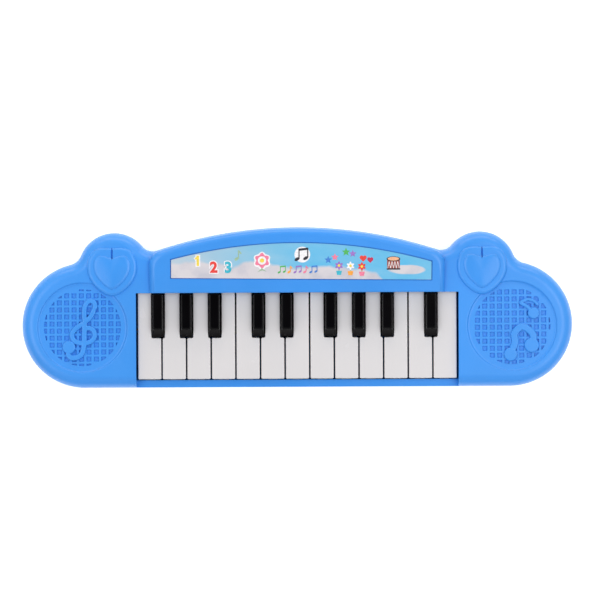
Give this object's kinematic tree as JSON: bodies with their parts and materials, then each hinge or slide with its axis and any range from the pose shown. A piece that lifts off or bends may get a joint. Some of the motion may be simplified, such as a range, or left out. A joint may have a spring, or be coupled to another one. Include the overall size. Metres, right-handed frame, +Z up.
{
  "type": "toy electronic keyboard",
  "caption": "Toy electronic keyboard: hinged white and black keys between round grilled lobes with raised hearts, under a sloping arched label panel, with its electronics and battery bay.",
  "frame": {"origin": "on the ground, under the middle of the case's outline", "axes": "+X along the keys to the high notes, +Y to the rear, +Z up"},
  "size_m": [0.33, 0.096, 0.0325],
  "materials": {
    "case_plastic": "semi-gloss moulded sky-blue plastic",
    "white_key_plastic": "glossy white plastic",
    "black_key_plastic": "glossy black plastic",
    "label_print": "printed sky and clouds under clear film",
    "steel": "plain steel",
    "silicone": "matt grey silicone rubber",
    "board": "green solder mask",
    "chip_epoxy": "black epoxy",
    "capacitor_can": "plain can",
    "speaker_steel": "zinc-plated pressing",
    "speaker_paper": "black paper",
    "magnet": "dark ferrite",
    "switch_plastic": "matt black",
    "battery_jacket": "plain gold jacket with no lettering",
    "contact_metal": "nickel-plated spring steel",
    "screw_steel": "zinc-plated",
    "foot_rubber": "dark grey rubber",
    "wire_red": "red insulation",
    "wire_black": "black insulation"
  },
  "bodies": {
    "case": {"top_shell": "case_plastic", "bottom_shell": "case_plastic", "panel_label": "label_print", "key_hinge_rod": "steel", "key_contact_strip": "silicone", "key_circuit_board": "board", "sound_chip": "chip_epoxy", "capacitor": "capacitor_can", "speaker_frame": "speaker_steel", "speaker_cone": "speaker_paper", "speaker_magnet": "magnet", "power_switch_body": "steel", "battery_cell_1": "battery_jacket", "battery_cell_2": "battery_jacket", "battery_cell_3": "battery_jacket", "battery_contact_plus": "contact_metal", "battery_contact_minus": "contact_metal", "battery_link_front": "contact_metal", "battery_link_rear": "contact_metal", "speaker_wire_red": "wire_red", "battery_wire_red": "wire_red", "speaker_wire_black": "wire_black", "battery_wire_black": "wire_black", "case_screw_1": "screw_steel", "case_screw_2": "screw_steel", "case_screw_3": "screw_steel", "case_screw_4": "screw_steel", "case_screw_5": "screw_steel", "board_screw_1": "screw_steel", "board_screw_2": "screw_steel", "rubber_foot_1": "foot_rubber", "rubber_foot_2": "foot_rubber", "rubber_foot_3": "foot_rubber", "rubber_foot_4": "foot_rubber"},
    "power_switch_knob": {"power_switch_knob": "switch_plastic"},
    "battery_door": {"battery_door": "case_plastic", "battery_door_screw_front": "screw_steel", "battery_door_screw_rear": "screw_steel"},
    "white_key_f1": {"white_key_f1": "white_key_plastic"},
    "black_key_fs1": {"black_key_fs1": "black_key_plastic"},
    "white_key_g1": {"white_key_g1": "white_key_plastic"},
    "black_key_gs1": {"black_key_gs1": "black_key_plastic"},
    "white_key_a1": {"white_key_a1": "white_key_plastic"},
    "black_key_as1": {"black_key_as1": "black_key_plastic"},
    "white_key_b1": {"white_key_b1": "white_key_plastic"},
    "white_key_c2": {"white_key_c2": "white_key_plastic"},
    "black_key_cs2": {"black_key_cs2": "black_key_plastic"},
    "white_key_d2": {"white_key_d2": "white_key_plastic"},
    "black_key_ds2": {"black_key_ds2": "black_key_plastic"},
    "white_key_e2": {"white_key_e2": "white_key_plastic"},
    "white_key_f2": {"white_key_f2": "white_key_plastic"},
    "black_key_fs2": {"black_key_fs2": "black_key_plastic"},
    "white_key_g2": {"white_key_g2": "white_key_plastic"},
    "black_key_gs2": {"black_key_gs2": "black_key_plastic"},
    "white_key_a2": {"white_key_a2": "white_key_plastic"},
    "black_key_as2": {"black_key_as2": "black_key_plastic"},
    "white_key_b2": {"white_key_b2": "white_key_plastic"},
    "white_key_c3": {"white_key_c3": "white_key_plastic"},
    "black_key_cs3": {"black_key_cs3": "black_key_plastic"},
    "white_key_d3": {"white_key_d3": "white_key_plastic"}
  },
  "joints": [
    {"name": "white_key_f1_hinge", "type": "hinge", "parent": "case", "child": "white_key_f1", "pos_m": [-0.09148, 0.019, 0.016], "axis": [1, 0, 0], "range_deg": [0, 3.4], "stiffness_Nm_per_rad": 0.15, "springref_deg": -5.73, "deforming": ["key_contact_strip"]},
    {"name": "black_key_fs1_hinge", "type": "hinge", "parent": "case", "child": "black_key_fs1", "pos_m": [-0.08327, 0.019, 0.016], "axis": [1, 0, 0], "range_deg": [0, 4.5], "stiffness_Nm_per_rad": 0.15, "springref_deg": -5.73, "deforming": ["key_contact_strip"]},
    {"name": "white_key_g1_hinge", "type": "hinge", "parent": "case", "child": "white_key_g1", "pos_m": [-0.07477, 0.019, 0.016], "axis": [1, 0, 0], "range_deg": [0, 3.4], "stiffness_Nm_per_rad": 0.15, "springref_deg": -5.73, "deforming": ["key_contact_strip"]},
    {"name": "black_key_gs1_hinge", "type": "hinge", "parent": "case", "child": "black_key_gs1", "pos_m": [-0.06628, 0.019, 0.016], "axis": [1, 0, 0], "range_deg": [0, 4.5], "stiffness_Nm_per_rad": 0.15, "springref_deg": -5.73, "deforming": ["key_contact_strip"]},
    {"name": "white_key_a1_hinge", "type": "hinge", "parent": "case", "child": "white_key_a1", "pos_m": [-0.05779, 0.019, 0.016], "axis": [1, 0, 0], "range_deg": [0, 3.4], "stiffness_Nm_per_rad": 0.15, "springref_deg": -5.73, "deforming": ["key_contact_strip"]},
    {"name": "black_key_as1_hinge", "type": "hinge", "parent": "case", "child": "black_key_as1", "pos_m": [-0.04931, 0.019, 0.016], "axis": [1, 0, 0], "range_deg": [0, 4.5], "stiffness_Nm_per_rad": 0.15, "springref_deg": -5.73, "deforming": ["key_contact_strip"]},
    {"name": "white_key_b1_hinge", "type": "hinge", "parent": "case", "child": "white_key_b1", "pos_m": [-0.04109, 0.019, 0.016], "axis": [1, 0, 0], "range_deg": [0, 3.4], "stiffness_Nm_per_rad": 0.15, "springref_deg": -5.73, "deforming": ["key_contact_strip"]},
    {"name": "white_key_c2_hinge", "type": "hinge", "parent": "case", "child": "white_key_c2", "pos_m": [-0.03198, 0.019, 0.016], "axis": [1, 0, 0], "range_deg": [0, 3.4], "stiffness_Nm_per_rad": 0.15, "springref_deg": -5.73, "deforming": ["key_contact_strip"]},
    {"name": "black_key_cs2_hinge", "type": "hinge", "parent": "case", "child": "black_key_cs2", "pos_m": [-0.0232, 0.019, 0.016], "axis": [1, 0, 0], "range_deg": [0, 4.5], "stiffness_Nm_per_rad": 0.15, "springref_deg": -5.73, "deforming": ["key_contact_strip"]},
    {"name": "white_key_d2_hinge", "type": "hinge", "parent": "case", "child": "white_key_d2", "pos_m": [-0.01473, 0.019, 0.016], "axis": [1, 0, 0], "range_deg": [0, 3.4], "stiffness_Nm_per_rad": 0.15, "springref_deg": -5.73, "deforming": ["key_contact_strip"]},
    {"name": "black_key_ds2_hinge", "type": "hinge", "parent": "case", "child": "black_key_ds2", "pos_m": [-0.00626, 0.019, 0.016], "axis": [1, 0, 0], "range_deg": [0, 4.5], "stiffness_Nm_per_rad": 0.15, "springref_deg": -5.73, "deforming": ["key_contact_strip"]},
    {"name": "white_key_e2_hinge", "type": "hinge", "parent": "case", "child": "white_key_e2", "pos_m": [0.00252, 0.019, 0.016], "axis": [1, 0, 0], "range_deg": [0, 3.4], "stiffness_Nm_per_rad": 0.15, "springref_deg": -5.73, "deforming": ["key_contact_strip"]},
    {"name": "white_key_f2_hinge", "type": "hinge", "parent": "case", "child": "white_key_f2", "pos_m": [0.01163, 0.019, 0.016], "axis": [1, 0, 0], "range_deg": [0, 3.4], "stiffness_Nm_per_rad": 0.15, "springref_deg": -5.73, "deforming": ["key_contact_strip"]},
    {"name": "black_key_fs2_hinge", "type": "hinge", "parent": "case", "child": "black_key_fs2", "pos_m": [0.01985, 0.019, 0.016], "axis": [1, 0, 0], "range_deg": [0, 4.5], "stiffness_Nm_per_rad": 0.15, "springref_deg": -5.73, "deforming": ["key_contact_strip"]},
    {"name": "white_key_g2_hinge", "type": "hinge", "parent": "case", "child": "white_key_g2", "pos_m": [0.02833, 0.019, 0.016], "axis": [1, 0, 0], "range_deg": [0, 3.4], "stiffness_Nm_per_rad": 0.15, "springref_deg": -5.73, "deforming": ["key_contact_strip"]},
    {"name": "black_key_gs2_hinge", "type": "hinge", "parent": "case", "child": "black_key_gs2", "pos_m": [0.03682, 0.019, 0.016], "axis": [1, 0, 0], "range_deg": [0, 4.5], "stiffness_Nm_per_rad": 0.15, "springref_deg": -5.73, "deforming": ["key_contact_strip"]},
    {"name": "white_key_a2_hinge", "type": "hinge", "parent": "case", "child": "white_key_a2", "pos_m": [0.04532, 0.019, 0.016], "axis": [1, 0, 0], "range_deg": [0, 3.4], "stiffness_Nm_per_rad": 0.15, "springref_deg": -5.73, "deforming": ["key_contact_strip"]},
    {"name": "black_key_as2_hinge", "type": "hinge", "parent": "case", "child": "black_key_as2", "pos_m": [0.0538, 0.019, 0.016], "axis": [1, 0, 0], "range_deg": [0, 4.5], "stiffness_Nm_per_rad": 0.15, "springref_deg": -5.73, "deforming": ["key_contact_strip"]},
    {"name": "white_key_b2_hinge", "type": "hinge", "parent": "case", "child": "white_key_b2", "pos_m": [0.06202, 0.019, 0.016], "axis": [1, 0, 0], "range_deg": [0, 3.4], "stiffness_Nm_per_rad": 0.15, "springref_deg": -5.73, "deforming": ["key_contact_strip"]},
    {"name": "white_key_c3_hinge", "type": "hinge", "parent": "case", "child": "white_key_c3", "pos_m": [0.07112, 0.019, 0.016], "axis": [1, 0, 0], "range_deg": [0, 3.4], "stiffness_Nm_per_rad": 0.15, "springref_deg": -5.73, "deforming": ["key_contact_strip"]},
    {"name": "black_key_cs3_hinge", "type": "hinge", "parent": "case", "child": "black_key_cs3", "pos_m": [0.07991, 0.019, 0.016], "axis": [1, 0, 0], "range_deg": [0, 4.5], "stiffness_Nm_per_rad": 0.15, "springref_deg": -5.73, "deforming": ["key_contact_strip"]},
    {"name": "white_key_d3_hinge", "type": "hinge", "parent": "case", "child": "white_key_d3", "pos_m": [0.0898, 0.019, 0.016], "axis": [1, 0, 0], "range_deg": [0, 3.4], "stiffness_Nm_per_rad": 0.15, "springref_deg": -5.73, "deforming": ["key_contact_strip"]},
    {"name": "power_switch_slide", "type": "slide", "parent": "case", "child": "power_switch_knob", "axis": [1, 0, 0], "range_m": [0, 0.004]},
    {"name": "battery_door_lift", "type": "slide", "parent": "case", "child": "battery_door", "axis": [0, 0, -1], "range_m": [0, 0.02]}
  ]
}
